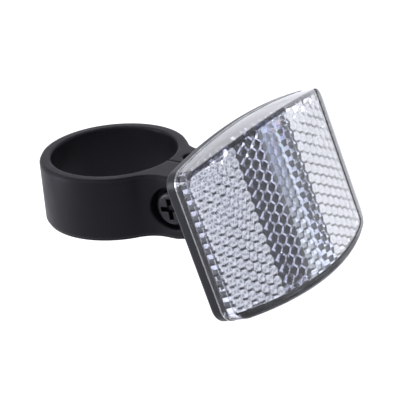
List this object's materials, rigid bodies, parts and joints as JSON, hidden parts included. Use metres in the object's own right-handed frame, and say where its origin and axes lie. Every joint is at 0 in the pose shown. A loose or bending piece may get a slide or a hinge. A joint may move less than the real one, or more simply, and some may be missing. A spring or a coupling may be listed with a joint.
{
  "type": "bicycle reflector",
  "caption": "Rectangular prism reflector in a black shell that tilts on the screw of a split collar clamped round a bicycle tube.",
  "frame": {"origin": "centre of the collar's bore, at mid height", "axes": "+Z along the tube, upwards; the reflector faces -Y and is tilted up by 18 degrees; the screw's head is at -X"},
  "size_m": [0.06, 0.0787, 0.043],
  "materials": {
    "black_moulding": "satin black moulded plastic",
    "black_screw": "black coated steel",
    "zinc_nut": "zinc plated steel",
    "black_shell": "satin black moulded plastic",
    "clear_lens": "clear moulded acrylic with prisms inside"
  },
  "bodies": {
    "clamp": {"collar": "black_moulding", "clamp_screw": "black_screw", "clamp_nut": "zinc_nut"},
    "head": {"housing": "black_shell", "lens": "clear_lens"}
  },
  "joints": [
    {"name": "tilt", "type": "hinge", "parent": "clamp", "child": "head", "pos_m": [0, -0.0225, 0], "axis": [-1, 0, 0], "range_deg": [-58, 21.8]}
  ]
}
